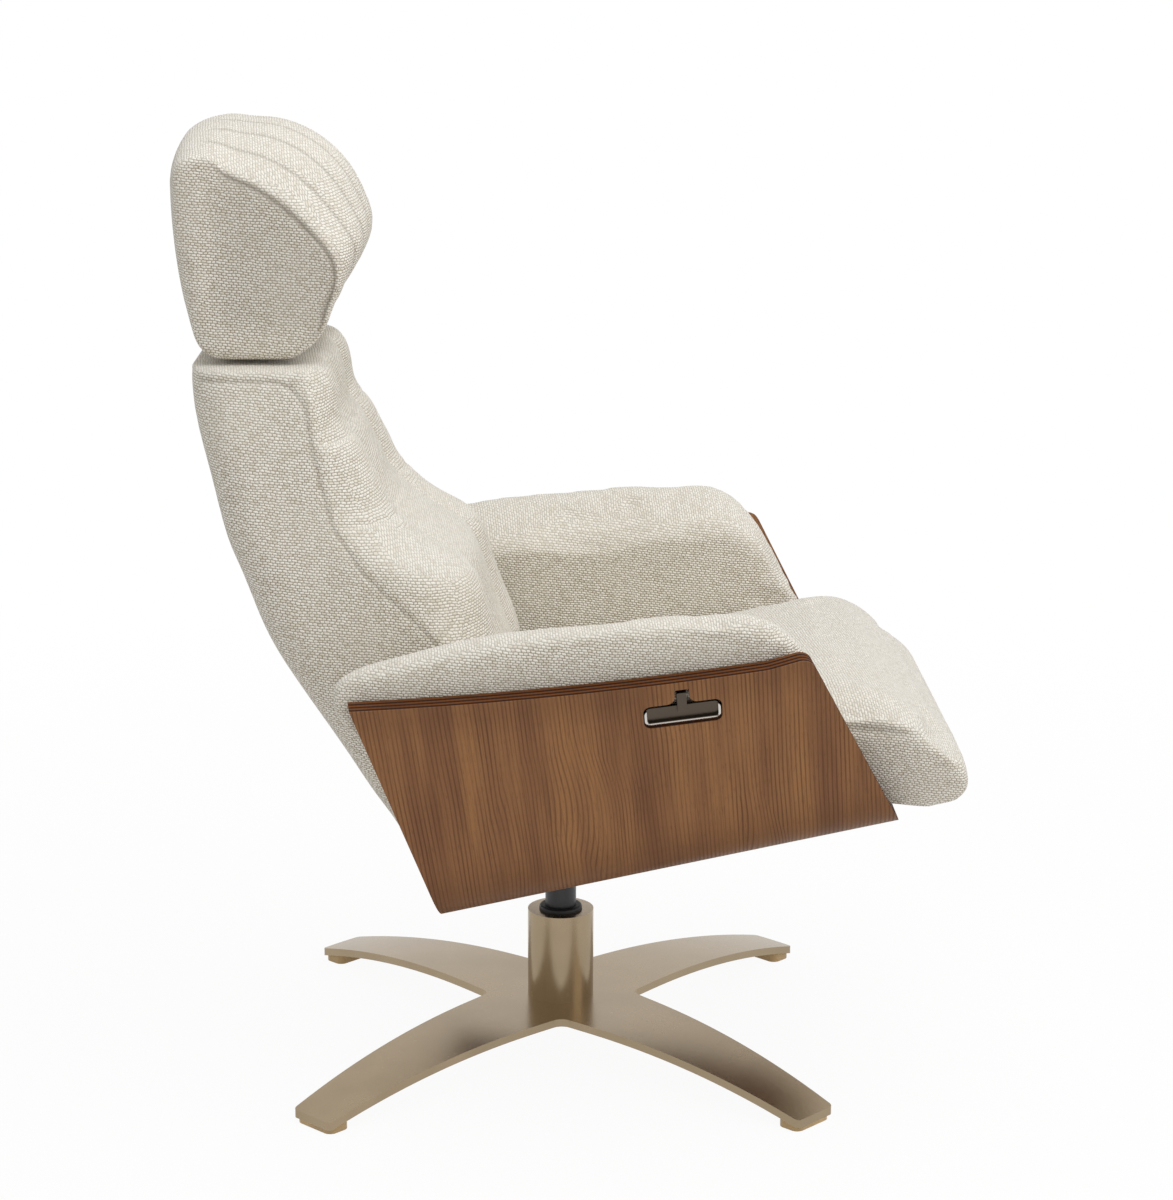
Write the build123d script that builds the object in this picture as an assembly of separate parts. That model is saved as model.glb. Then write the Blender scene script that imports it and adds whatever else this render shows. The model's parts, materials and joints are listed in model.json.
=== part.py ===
"""Swivel recliner on a four-armed base: bent-ply shell, upholstered seat, back and headrest.

Millimetres. The origin is on the floor under the swivel axis, +Z is up and the front is -Y.
The release lever is on the sitter's right, at -X.
"""
import math
import os

from build123d import *

# Clearances
running_clearance = 0.05
fixed_clearance = 0.02
body_clearance = 0.5
thrust_clearance = 0.1

# Four-armed base
glide_height = 6
glide_length = 30
glide_inset = 2
glide_corner = 9
glide_peg_radius = 4
glide_peg_depth = 4
base_plate = 9
hub_height = 52
hub_flat_radius = 110
arm_reach = 390
arm_tip_width = 60
arm_tip_corner = 6
arm_root_width = 118
arm_notch_fillet = 14
hub_hole_radius = 20

# Column and swivel spindle
column_radius = 38.4
column_wall = 6
column_height = 105
column_end = 12
spindle_radius = 18
journal_radius = 11
bush_wall = 3
bush_length = 24
bush_lip = 5
bush_lip_radius = 25
lower_bush_wall = 4
lower_bush_lip = 4
thrust_washer_thickness = 2
retainer_radius = 17
retainer_thickness = 3
clip_thickness = 1.5
clip_groove = 1
column_bolt_radius = 3
column_bolt_circle = 29
column_bolt_head = 5
column_bolt_head_radius = 5
column_bolt_grip = 9

# Bent-ply shell: heights here and below are above its underside at the swivel axis
ply = 16
shell_pitch = 12
shell_flare = 26
shell_floor_height = 257
shell_floor_half_width = 214
shell_bend_radius = 60
shell_corners = {
    "front_low": (-361, 84),
    "front_high": (-250, 296),
    "rear_low": (135, -19),
    "rear_high": (221, 247),
    "top_middle": (0, 259),
    "flick": (-208, 283),
}
shell_flick_blend = 60
shell_front_corner = 14

# Swivel plate, mechanism pan and recline axle
socket_radius = 27
socket_depth = 45
swivel_plate = 6
swivel_plate_width = 210
swivel_plate_length = 190
swivel_bolt_radius = 4
swivel_bolt_span = 160
swivel_bolt_head = 5
swivel_bolt_head_radius = 8
swivel_nut = 7
pan_plate = 4
pan_half_width = 166
pan_front = -176
pan_rear = 112
ear_inside = 150
ear_plate = 6
ear_radius = 16
axle_radius = 7
axle_overhang = 6
recline_y = 100
recline_rise = 135
recline_drop = 85

# Gas spring
gas_anchor_y = -150
gas_anchor_room = 4.7
gas_neck = 2
gas_neck_radius = 7
gas_pin_radius = 4
gas_eye_radius = 9
gas_eye_width = 16
gas_ear_plate = 4
gas_ear_gap = 1
gas_cylinder_radius = 11
gas_cylinder_length = 150
gas_rod_radius = 5
gas_rod_inside = 20
gas_stroke = 48
gas_link_clearance = 2.2
link_wall = 5

# Back frame and upholstery
frame_plate = 6
frame_gap = 3
frame_bar_width = 30
frame_rises = [(205, 243), (252, 318), (293, 403), (316, 483), (322, 521)]
cross_tube_radius = 8
top_bar_height = 40
top_bar_depth = 10
back_strap_count = 4
back_strap_width = 42
strap_thickness = 2
back_wall = 14
back_corner = 46
back_cushion_rise = 171
back_panel_share = 0.42
back_seam_depth = 8
back_rises = [
    (37, 171, 214, 120, 114),
    (143, 232, 236, 85, 66),
    (183, 257, 240, 84, 48),
    (230, 287, 243, 94, 58),
    (288, 319, 241, 137, 80),
    (355, 348, 231, 208, 116),
    (402, 366, 221, 239, 180),
    (445, 377, 211, 252, 205),
    (489, 389, 200, 262, 234),
    (528, 397, 189, 269, 246),
    (563, 400, 178, 279, 260),
]

# Headrest
post_lean = 6
post_radius = 6
post_half_spacing = 55
post_length = 150
guide_size = 28
guide_length = 84
guide_drop = 48
headrest_hinge_y = 306
headrest_hinge_rise = 592
headrest_axle_overhang = 14
knuckle_radius = 11
knuckle_length = 22
knuckle_offset = 24
core_width = 236
core_height = 150
core_thickness = 10
headrest_half_width = 150
headrest_border = 8
headrest_rib_pitch = 36
headrest_ribs_each_side = 3
headrest_rib_depth = 2.5
headrest_slot_room = 18
headrest_side_rises = [
    (396, 601), (409, 683), (412, 758), (403, 782), (362, 767), (292, 727), (243, 655),
    (255, 596), (292, 569), (362, 569), (386, 578),
]
headrest_middle_rises = [
    (402, 601), (421, 683), (426, 757), (413, 801), (340, 818), (240, 774), (212, 711),
    (248, 629), (292, 570), (362, 570), (389, 579),
]
headrest_front_points = (5, 6, 7)

# Arm pads
pad_foot = 14
pad_crest_share = 0.34
pad_outer_swell = (0.06, 0.64)
pad_inner_swell = (0.82, 0.60)
pad_rises = [
    (239, 243, 249, 267, 34),
    (228, 221, 249, 280, 50),
    (190, 168, 251, 296, 68),
    (115, 88, 256, 315, 84),
    (0, 88, 265, 332, 80),
    (-110, 108, 274, 342, 76),
    (-180, 125, 283, 342, 74),
    (-218, 135, 283, 328, 70),
    (-250, 145, 263, 295, 58),
    (-280, 151, 213, 247, 30),
    (-304, 157, 181, 199, 15),
]

# Seat
seat_pitch = 4.4
seat_rear = 70
seat_rise = 65
seat_frame_thickness = 16
seat_frame_half_width = 212
seat_frame_rail = 45
seat_frame_length = 430
seat_frame_setback = 6
seat_strap_count = 6
seat_strap_width = 48
seat_rises = [
    (70, 0, 135, 151, 222, 240),
    (60, 0, 137, 153, 222, 242),
    (0, 0, 147, 167, 224, 250),
    (-120, 0, 167, 191, 226, 257),
    (-230, 0, 183, 214, 226, 260),
    (-312, 0, 192, 226, 226, 262),
    (-374, -3, 186, 212, 230, 264),
    (-416, -3, 164, 182, 238, 260),
    (-433, 4, 143, 156, 240, 254),
    (-439, 13, 129, 137, 238, 248),
]
seat_side_swell = 5
seat_shoulder = (0.78, 0.88)
seat_shoulder_swell = (0.93, 0.58)
rail_plate = 3
rail_lip = 5
rail_wall = 4.75
rail_front = -325
rail_rear = -185
slider_width = 24
slider_side_gap = 0.25
slider_front = -270
slider_rear = -200
slider_offset = 191
hook_plate = 6
hook_inside = 120
hook_slot_rise = 2.4

# Release lever
lever_spot_rise = (-121, 233)
lever_slot_width = 82
lever_slot_height = 30
lever_slot_corner = 8
lever_slot_blend = 9
lever_stem_slot = 15
lever_stem_rise = 18
lever_gap = 1.2
lever_swing_room = 6.5
lever_depth = 3
lever_plate = 6
lever_lip = 5
lever_stem_width = 10
lever_barrel_radius = 5
lever_barrel_length = 22
lever_pin_radius = 2.5
lever_pin_setback = 8
lever_ear_plate = 4
lever_ear_foot = 3
lever_pocket_room = 5
lever_leg_height = 7
cable_radius = 2.5
cable_groove = 4
cable_drop = 140
cable_floor_x = 205
cable_bend = 28

# Shell geometry
pitch = math.radians(shell_pitch)
flare = math.radians(shell_flare)
floor_plane = Plane(
    origin=(0, 0, shell_floor_height),
    x_dir=(1, 0, 0),
    z_dir=(0, math.sin(pitch), math.cos(pitch)),
)
shell_plane = Plane(
    origin=(0, 0, shell_floor_height),
    x_dir=(1, 0, 0),
    z_dir=(0, -math.cos(pitch), math.sin(pitch)),
)
shell_corner = shell_floor_half_width + shell_bend_radius * (
    math.cos(flare) - (1 - math.sin(flare)) * math.tan(flare)
)
ply_across = ply / math.cos(flare)
far = 700


def raised(rows, *columns):
    """Rows whose heights, in the columns named, are measured from the floor of the room."""
    above = []
    for row in rows:
        above.append(tuple(v + shell_floor_height if i in columns else v for i, v in enumerate(row)))
    return above


front_low, front_high, rear_low, rear_high, top_middle, flick = raised(shell_corners.values(), 1)
frame_line = raised(frame_rises, 1)
back_rows = raised(back_rises, 0)
back_cushion_bottom = shell_floor_height + back_cushion_rise
headrest_side = raised(headrest_side_rises, 1)
headrest_middle = raised(headrest_middle_rises, 1)
headrest_hinge_z = shell_floor_height + headrest_hinge_rise
pad_rows = raised(pad_rises, 1, 2, 3)
seat_rear_height = shell_floor_height + seat_rise
seat_rows = raised(seat_rises, 2, 3)
recline_z = shell_floor_height + recline_rise
lever_centre = raised([lever_spot_rise], 1)[0]


def floor_height_of(y, z):
    """Height of a point above the shell's underside, square to the pitched floor."""
    return y * math.sin(pitch) + (z - shell_floor_height) * math.cos(pitch)


def shell_outside(y, z):
    """Half width to the outer face of the flared side at a point of the side view."""
    return shell_corner + floor_height_of(y, z) * math.tan(flare)


def shell_inside(y, z):
    """Half width to the inner face of the flared side."""
    return shell_outside(y, z) - ply_across


def floor_z(y, height):
    """World height over y of a plane that lies a given height above the shell's underside."""
    return shell_floor_height + (height - y * math.sin(pitch)) / math.cos(pitch)


def seat_base_z(y):
    """World height of the seat's flat underside."""
    return seat_rear_height + (seat_rear - y) * math.tan(math.radians(seat_pitch))


def side_prism(points, x_from, x_to):
    """Prism between two X positions from an outline in the side view."""
    face = make_face(Polyline(points, close=True))
    return Pos(x_from, 0, 0) * extrude(Plane.YZ * face, x_to - x_from)


def turned(points):
    """Solid of revolution about the swivel axis from an outline of radius and height."""
    return revolve(Plane.XZ * make_face(Polyline(points, close=True)), Axis.Z)


def cross_rod(radius, length, y, z, x=0):
    """Round bar across the chair, centred at x."""
    return Pos(x, y, z) * Rot(0, 90, 0) * Cylinder(radius, length)


def upright(radius, bottom, top, x=0, y=0):
    """Round vertical bar between two heights."""
    return Pos(x, y, bottom) * Cylinder(radius, top - bottom, align=(Align.CENTER, Align.CENTER, Align.MIN))


def mirrored(shape):
    """The same piece on the other side of the chair."""
    return mirror(shape, Plane.YZ)


# Base
tip_height = glide_height + base_plate
arch_run = arm_reach - hub_flat_radius
arch_drop = hub_height - tip_height
arch_radius = (arch_run**2 + arch_drop**2) / (2 * arch_drop)
slab_reach = math.hypot(arm_reach, arm_tip_width)


def arch_z(radius, depth):
    """Height of the arched plate at a radius, a given depth below its upper face."""
    if radius <= hub_flat_radius:
        return hub_height - depth
    run = radius - hub_flat_radius
    return hub_height - arch_radius + math.sqrt((arch_radius - depth) ** 2 - run**2)


def arch_edge(depth):
    """Arc of the arched plate from the flat hub outwards."""
    middle = (hub_flat_radius + slab_reach) / 2
    return ThreePointArc(
        (hub_flat_radius, arch_z(hub_flat_radius, depth)),
        (middle, arch_z(middle, depth)),
        (slab_reach, arch_z(slab_reach, depth)),
    )


def under_arch(depth):
    """Everything between the floor and the arch, a given depth below its upper face."""
    top = arch_z(0, depth)
    outline = [
        Line((0, 0), (slab_reach, 0)),
        Line((slab_reach, 0), (slab_reach, arch_z(slab_reach, depth))),
        arch_edge(depth),
        Line((hub_flat_radius, top), (0, top)),
        Line((0, top), (0, 0)),
    ]
    return revolve(Plane.XZ * make_face(outline), Axis.Z)


arm_angles = {"front_right": 225, "front_left": 315, "rear_left": 45, "rear_right": 135}
glide_radius = arm_reach - glide_inset - glide_length / 2
peg_top = arch_z(glide_radius, base_plate) + glide_peg_depth


def make_base_cross():
    corners = []
    for quarter in range(4):
        turn = Rot(0, 0, 90 * quarter + 45)
        for point in [
            (arm_reach, -arm_tip_width / 2),
            (arm_reach, arm_tip_width / 2),
            (arm_root_width / 2, arm_root_width / 2),
        ]:
            corners.append((turn * Pos(*point)).position)
    outline = make_face(Polyline(corners, close=True))
    notches = [v for v in outline.vertices() if v.center().length < arm_reach / 2]
    outline = fillet(notches, arm_notch_fillet)
    tips = [v for v in outline.vertices() if v.center().length > arm_reach]
    outline = fillet(tips, arm_tip_corner)
    cross = extrude(outline, hub_height) & (under_arch(0) - under_arch(base_plate))
    cross -= upright(hub_hole_radius, 0, hub_height)
    for place in PolarLocations(column_bolt_circle, 4):
        cross -= place * upright(column_bolt_radius, 0, hub_height)
    for angle in arm_angles.values():
        cross -= Rot(0, 0, angle) * upright(glide_peg_radius, 0, peg_top, glide_radius)
    return cross


def make_glide(angle):
    width = arm_tip_width - 2 * glide_inset
    pad = extrude(RectangleRounded(glide_length, width, glide_corner), hub_height)
    pad = Rot(0, 0, angle) * Pos(glide_radius, 0, 0) * pad
    peg = upright(glide_peg_radius - fixed_clearance, glide_height / 2, peg_top, glide_radius)
    return (pad & under_arch(base_plate)) + Rot(0, 0, angle) * peg


# Column
column_top = hub_height + column_height
column_floor = hub_height + column_end
bush_radius = spindle_radius + running_clearance + bush_wall
lower_bush_radius = journal_radius + running_clearance + lower_bush_wall
journal_top = column_floor + lower_bush_lip + thrust_washer_thickness
lower_lip_radius = lower_bush_radius + lower_bush_lip
socket_bottom = floor_z(0, 0) - swivel_plate - socket_depth
clip_top = hub_height - thrust_clearance - retainer_thickness


def make_column():
    inside = column_radius - column_wall
    tube = turned(
        [
            (lower_bush_radius + fixed_clearance, hub_height),
            (column_radius, hub_height),
            (column_radius, column_top),
            (bush_radius + fixed_clearance, column_top),
            (bush_radius + fixed_clearance, column_top - column_end),
            (inside, column_top - column_end),
            (inside, column_floor),
            (lower_bush_radius + fixed_clearance, column_floor),
        ]
    )
    for place in PolarLocations(column_bolt_circle, 4):
        tube -= place * upright(column_bolt_radius, hub_height, hub_height + column_bolt_grip)
    return tube


def make_column_bolts():
    under = hub_height - base_plate
    bolt = upright(column_bolt_head_radius, under - column_bolt_head, under)
    bolt += upright(column_bolt_radius - fixed_clearance, under, hub_height + column_bolt_grip - 1)
    return Compound(children=[place * bolt for place in PolarLocations(column_bolt_circle, 4)])


def make_upper_bush():
    bore = spindle_radius + running_clearance
    bush = turned(
        [
            (bore, column_top - bush_length),
            (bush_radius, column_top - bush_length),
            (bush_radius, column_top),
            (bush_lip_radius, column_top),
            (bush_lip_radius, column_top + bush_lip),
            (bore, column_top + bush_lip),
        ]
    )
    rim = bush.edges().filter_by(GeomType.CIRCLE).group_by(Axis.Z)[-1].sort_by(SortBy.RADIUS)[-1]
    return fillet(rim, bush_lip * 0.6)


def make_lower_bush():
    bore = journal_radius + running_clearance
    return turned(
        [
            (bore, hub_height),
            (lower_bush_radius, hub_height),
            (lower_bush_radius, column_floor),
            (lower_lip_radius, column_floor),
            (lower_lip_radius, column_floor + lower_bush_lip),
            (bore, column_floor + lower_bush_lip),
        ]
    )


def make_ring(inner, outer, bottom, thickness):
    return upright(outer, bottom, bottom + thickness) - upright(inner, bottom, bottom + thickness)


def make_spindle():
    groove = journal_radius - clip_groove
    return turned(
        [
            (0, clip_top - 2 * clip_thickness),
            (journal_radius, clip_top - 2 * clip_thickness),
            (journal_radius, clip_top - clip_thickness),
            (groove, clip_top - clip_thickness),
            (groove, clip_top),
            (journal_radius, clip_top),
            (journal_radius, journal_top + thrust_clearance),
            (spindle_radius, journal_top + thrust_clearance),
            (spindle_radius, socket_bottom + socket_depth / 2),
            (0, socket_bottom + socket_depth / 2),
        ]
    )


# Swivel plate and mechanism
swivel_bolts_at = GridLocations(swivel_bolt_span, swivel_bolt_span, 2, 2)
pan_top = ply + pan_plate
frame_outside = ear_inside - frame_gap
frame_inside = frame_outside - frame_plate
link_y = recline_y
link_z = recline_z - recline_drop
gas_anchor_z = floor_z(gas_anchor_y, pan_top) + gas_eye_radius + gas_anchor_room
gas_ear_inside = gas_eye_width / 2 + gas_ear_gap


def floor_bar(radius, bottom, top):
    """Round bar square to the shell's floor, between two heights above its underside."""
    return Pos(0, 0, bottom) * Cylinder(radius, top - bottom, align=(Align.CENTER, Align.CENTER, Align.MIN))


def floor_block(width, front, rear, bottom, top, x=0):
    """Block on the pitched floor between two Y positions, measured along the floor."""
    length = (rear - front) / math.cos(pitch)
    middle = (rear + front) / 2 / math.cos(pitch)
    block = Box(width, length, top - bottom, align=(Align.CENTER, Align.CENTER, Align.MIN))
    return floor_plane.location * Pos(x, middle, bottom) * block


def make_swivel_plate():
    half = swivel_plate_length / 2
    plate = floor_block(swivel_plate_width, -half, half, -swivel_plate, 0)
    socket = upright(socket_radius, socket_bottom, floor_z(0, 0))
    below = floor_block(far, -far, far, -far, -swivel_plate / 2)
    socket &= below
    socket -= upright(spindle_radius, socket_bottom, socket_bottom + socket_depth / 2)
    plate += socket
    for place in swivel_bolts_at:
        plate -= floor_plane.location * place * floor_bar(swivel_bolt_radius, -far, far)
    return plate


def make_swivel_bolts():
    shank_top = pan_top + swivel_nut
    bolt = floor_bar(swivel_bolt_radius - fixed_clearance, -swivel_plate, shank_top)
    bolt += floor_bar(swivel_bolt_head_radius, -swivel_plate - swivel_bolt_head, -swivel_plate)
    return Compound(children=[floor_plane.location * place * bolt for place in swivel_bolts_at])


def make_swivel_nuts():
    nut = extrude(RegularPolygon(swivel_bolt_head_radius, 6), swivel_nut)
    nut = Pos(0, 0, pan_top) * nut - floor_bar(swivel_bolt_radius, 0, far)
    return Compound(children=[floor_plane.location * place * nut for place in swivel_bolts_at])


def make_pan():
    pan = floor_block(2 * pan_half_width, pan_front, pan_rear, ply, pan_top)
    for side in (-1, 1):
        start = min(side * ear_inside, side * (ear_inside + ear_plate))
        ear = side_prism(
            [
                (recline_y - 2 * ear_radius, floor_z(recline_y - 2 * ear_radius, ply + 1)),
                (pan_rear - 1, floor_z(pan_rear - 1, ply + 1)),
                (recline_y + ear_radius, recline_z),
                (recline_y - ear_radius, recline_z),
            ],
            start,
            start + ear_plate,
        )
        pan += ear + cross_rod(ear_radius, ear_plate, recline_y, recline_z, start + ear_plate / 2)
        start = min(side * gas_ear_inside, side * (gas_ear_inside + gas_ear_plate))
        lug = side_prism(
            [
                (gas_anchor_y - gas_eye_radius, floor_z(gas_anchor_y - gas_eye_radius, ply + 1)),
                (gas_anchor_y + gas_eye_radius, floor_z(gas_anchor_y + gas_eye_radius, ply + 1)),
                (gas_anchor_y + gas_eye_radius, gas_anchor_z),
                (gas_anchor_y - gas_eye_radius, gas_anchor_z),
            ],
            start,
            start + gas_ear_plate,
        )
        pan += lug + cross_rod(gas_eye_radius, gas_ear_plate, gas_anchor_y, gas_anchor_z, start + gas_ear_plate / 2)
    pan -= cross_rod(axle_radius, far, recline_y, recline_z)
    pan -= cross_rod(gas_pin_radius, far, gas_anchor_y, gas_anchor_z)
    for place in swivel_bolts_at:
        pan -= floor_plane.location * place * floor_bar(swivel_bolt_radius, 0, far)
    return pan


def make_recline_axle():
    length = 2 * (ear_inside + ear_plate + axle_overhang)
    return cross_rod(axle_radius - fixed_clearance, length, recline_y, recline_z)


def make_gas_pin():
    length = 2 * (gas_ear_inside + gas_ear_plate + 1)
    return cross_rod(gas_pin_radius - fixed_clearance, length, gas_anchor_y, gas_anchor_z)


# Gas spring, drawn along +X from its anchor and then swung onto its line
gas_length = math.hypot(link_y - gas_anchor_y, link_z - gas_anchor_z)
gas_angle = math.degrees(math.atan2(link_z - gas_anchor_z, link_y - gas_anchor_y))
gas_place = Pos(0, gas_anchor_y, gas_anchor_z) * Rot(gas_angle, 0, 0) * Rot(0, 0, 90)
rod_eye_bore = cross_tube_radius + gas_link_clearance


def along(radius, start, end):
    """Round bar along +X."""
    return Pos((start + end) / 2, 0, 0) * Rot(0, 90, 0) * Cylinder(radius, end - start)


def eye(outside, bore, width, x):
    """Eye across the line of the gas spring."""
    ring = Cylinder(outside, width) - Cylinder(bore, width)
    return Pos(x, 0, 0) * Rot(90, 0, 0) * ring


def make_gas_cylinder():
    shoulder = gas_eye_radius + gas_neck
    body = along(gas_cylinder_radius, shoulder, gas_cylinder_length)
    body += along(gas_neck_radius, 0, shoulder)
    bore_from = gas_cylinder_length - gas_rod_inside - gas_stroke
    body -= along(gas_rod_radius + running_clearance, bore_from, gas_cylinder_length + 1)
    body += Rot(90, 0, 0) * Cylinder(gas_eye_radius, gas_eye_width)
    body -= Rot(90, 0, 0) * Cylinder(gas_pin_radius + running_clearance, far)
    return gas_place * body


def make_gas_rod():
    rod = along(gas_rod_radius, gas_cylinder_length - gas_rod_inside, gas_length - rod_eye_bore)
    rod += eye(rod_eye_bore + link_wall, rod_eye_bore, gas_eye_width, gas_length)
    return gas_place * rod


# Bent-ply shell
def panel_plane(side):
    """Plane of a flared side's outer face: local X runs forwards, local Z out of the chair."""
    outward = Vector(side * math.cos(flare), 0, 0) - math.sin(flare) * floor_plane.z_dir
    return Plane(origin=floor_plane.origin + Vector(side * shell_corner, 0, 0), x_dir=shell_plane.z_dir, z_dir=outward)


def on_panel(side, y, z):
    """Local place on a side's outer face of a point of the side view."""
    local = panel_plane(side).to_local_coords(Vector(side * shell_outside(y, z), y, z))
    return (local.X, local.Y)


def make_top_cut(side):
    rise = (front_high[1] - flick[1]) / (front_high[0] - flick[0])
    ahead = (-far / 2, flick[1] + rise * (-far / 2 - flick[0]))
    behind = (far / 2, rear_high[1])
    lines = [
        Line(on_panel(side, *behind), on_panel(side, *rear_high)),
        ThreePointArc(on_panel(side, *rear_high), on_panel(side, *top_middle), on_panel(side, *flick)),
        Line(on_panel(side, *flick), on_panel(side, *ahead)),
        Line(on_panel(side, *ahead), on_panel(side, ahead[0], 2 * far)),
        Line(on_panel(side, ahead[0], 2 * far), on_panel(side, behind[0], 2 * far)),
        Line(on_panel(side, behind[0], 2 * far), on_panel(side, *behind)),
    ]
    face = make_face(lines)
    bend = Vector(*on_panel(side, *flick))
    corner = min(face.vertices(), key=lambda v: (v.center() - bend).length)
    face = fillet(corner, shell_flick_blend)
    return panel_plane(side).location * extrude(face, 4 * ply, both=True)


def make_lever_slot():
    """T-shaped prism through the right side, on the lever's own place, with blended shoulders."""
    bar = RectangleRounded(lever_slot_width, lever_slot_height, lever_slot_corner)
    stem_height = lever_slot_height / 2 + lever_stem_rise
    shape = bar + Pos(0, stem_height / 2) * Rectangle(lever_stem_slot, stem_height)
    shoulders = [Vector(side * lever_stem_slot / 2, lever_slot_height / 2, 0) for side in (-1, 1)]
    corners = [min(shape.vertices(), key=lambda v: (v.center() - place).length) for place in shoulders]
    shape = fillet(corners, lever_slot_blend)
    return lever_place * Pos(0, 0, -2 * ply) * extrude(shape, 3 * ply)


def make_ply_shell():
    top = far
    across = top * math.tan(flare)
    outer = make_face(
        Polyline(
            [(-shell_corner - across, top), (-shell_corner, 0), (shell_corner, 0), (shell_corner + across, top)],
            close=True,
        )
    )
    outer = fillet(outer.vertices().group_by(Axis.Y)[0], shell_bend_radius)
    inner_corner = shell_corner - ply_across + ply * math.tan(flare)
    across -= ply * math.tan(flare)
    inner = make_face(
        Polyline(
            [(-inner_corner - across, top), (-inner_corner, ply), (inner_corner, ply), (inner_corner + across, top)],
            close=True,
        )
    )
    inner = fillet(inner.vertices().group_by(Axis.Y)[0], shell_bend_radius - ply)
    trough = extrude(shell_plane * (outer - inner), far, both=True)
    front_lean = (front_high[0] - front_low[0]) / (front_high[1] - front_low[1])
    rear_lean = (rear_high[0] - rear_low[0]) / (rear_high[1] - rear_low[1])
    outline = [
        (front_low[0] - front_lean * front_low[1], 0),
        (rear_low[0] - rear_lean * rear_low[1], 0),
        (rear_low[0] + rear_lean * (far - rear_low[1]), far),
        (front_low[0] + front_lean * (far - front_low[1]), far),
    ]
    shell = trough & side_prism(outline, -far, far)
    for side in (-1, 1):
        shell -= make_top_cut(side)
        tip = Vector(side * shell_outside(*front_high), *front_high)
        corner = min(shell.edges(), key=lambda e: (e.center() - tip).length)
        shell = fillet(corner, shell_front_corner)
    for place in swivel_bolts_at:
        shell -= floor_plane.location * place * floor_bar(swivel_bolt_radius, -1, far / 4)
    return shell - make_lever_slot()


# Release lever: its frame lies on the right side's outer face, X forwards, Y up, Z outwards
lever_spot = on_panel(-1, *lever_centre)
lever_along = Vector(*on_panel(-1, *flick)) - Vector(*on_panel(-1, *top_middle))
lever_turn = math.degrees(math.atan2(lever_along.Y, lever_along.X))
lever_place = panel_plane(-1).location * Pos(*lever_spot, 0) * Rot(0, 0, lever_turn)
lever_axis_up = lever_slot_height / 2 + lever_stem_rise - lever_pin_setback
lever_axis_in = ply + lever_barrel_radius + body_clearance
lever_room = lever_barrel_radius + lever_pocket_room
lever_ear_inside = lever_barrel_length / 2 + body_clearance


def make_lever():
    width = lever_slot_width - 2 * lever_gap
    height = lever_slot_height - 2 * lever_gap - lever_swing_room
    corner = lever_slot_corner - lever_gap
    paddle = extrude(RectangleRounded(width, height, corner), lever_plate)
    scoop = extrude(RectangleRounded(width - lever_lip, height - lever_lip / 2, corner / 2), lever_plate)
    lever = paddle - Pos(0, lever_lip / 2, lever_plate / 2) * scoop
    lever = Pos(0, -lever_swing_room / 2, -lever_depth - lever_plate) * lever
    leg_top = lever_axis_up + 1
    stem = Box(lever_stem_width, leg_top, lever_plate, align=(Align.CENTER, Align.MIN, Align.MAX))
    leg_depth = lever_axis_in - lever_depth
    leg = Box(lever_stem_width, lever_leg_height, leg_depth, align=(Align.CENTER, Align.MAX, Align.MAX))
    lever += Pos(0, 0, -lever_depth) * stem
    lever += Pos(0, leg_top, -lever_depth) * leg
    barrel = Pos(0, lever_axis_up, -lever_axis_in) * Rot(0, 90, 0)
    lever += barrel * Cylinder(lever_barrel_radius, lever_barrel_length)
    lever -= barrel * Cylinder(lever_pin_radius + running_clearance, far)
    return lever_place * lever


def make_lever_bracket():
    height = 2 * lever_barrel_radius + lever_ear_foot
    span = 2 * (lever_ear_inside + lever_ear_plate)
    depth = lever_axis_in + lever_barrel_radius + body_clearance + lever_ear_foot - ply
    block = Box(span, height, depth, align=(Align.CENTER, Align.CENTER, Align.MAX))
    room = Box(2 * lever_ear_inside, height, depth - lever_ear_foot, align=(Align.CENTER, Align.CENTER, Align.MAX))
    bracket = Pos(0, lever_axis_up, -ply) * (block - room)
    pin_hole = Pos(0, lever_axis_up, -lever_axis_in) * Rot(0, 90, 0) * Cylinder(lever_pin_radius, far)
    return lever_place * (bracket - pin_hole)


def make_lever_pocket():
    width = 2 * (lever_ear_inside + lever_ear_plate + body_clearance)
    height = 2 * lever_room
    depth = lever_axis_in + lever_barrel_radius + 2 * body_clearance + lever_ear_foot
    room = Box(width, height, depth, align=(Align.CENTER, Align.CENTER, Align.MAX))
    return lever_place * Pos(0, lever_axis_up, 0) * room


def make_lever_pin():
    length = 2 * (lever_ear_inside + lever_ear_plate)
    pin = Cylinder(lever_pin_radius - fixed_clearance, length)
    return lever_place * Pos(0, lever_axis_up, -lever_axis_in) * Rot(0, 90, 0) * pin


# Release cable: from the lever down the inside of the ply and across to the gas spring
def cable_path():
    inside = -ply - cable_groove
    start = lever_place * Pos(0, lever_axis_up - lever_room, inside)
    knee = lever_place * Pos(0, -cable_drop, inside)
    height = pan_top + cable_groove
    floor = Vector(-cable_floor_x, lever_centre[0], floor_z(lever_centre[0], height))
    end_x = -gas_ear_inside - gas_ear_plate - body_clearance
    end = Vector(end_x, gas_anchor_y, floor_z(gas_anchor_y, height))
    return FilletPolyline(start.position, knee.position, floor, end, radius=cable_bend)


def make_cable(radius):
    path = cable_path()
    start = Plane(origin=path @ 0, z_dir=path % 0)
    return sweep(start * Circle(radius), path=path)


# Back
post_plane = Plane(
    origin=(0, headrest_hinge_y, headrest_hinge_z),
    x_dir=(1, 0, 0),
    z_dir=(0, math.sin(math.radians(post_lean)), math.cos(math.radians(post_lean))),
)


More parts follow.
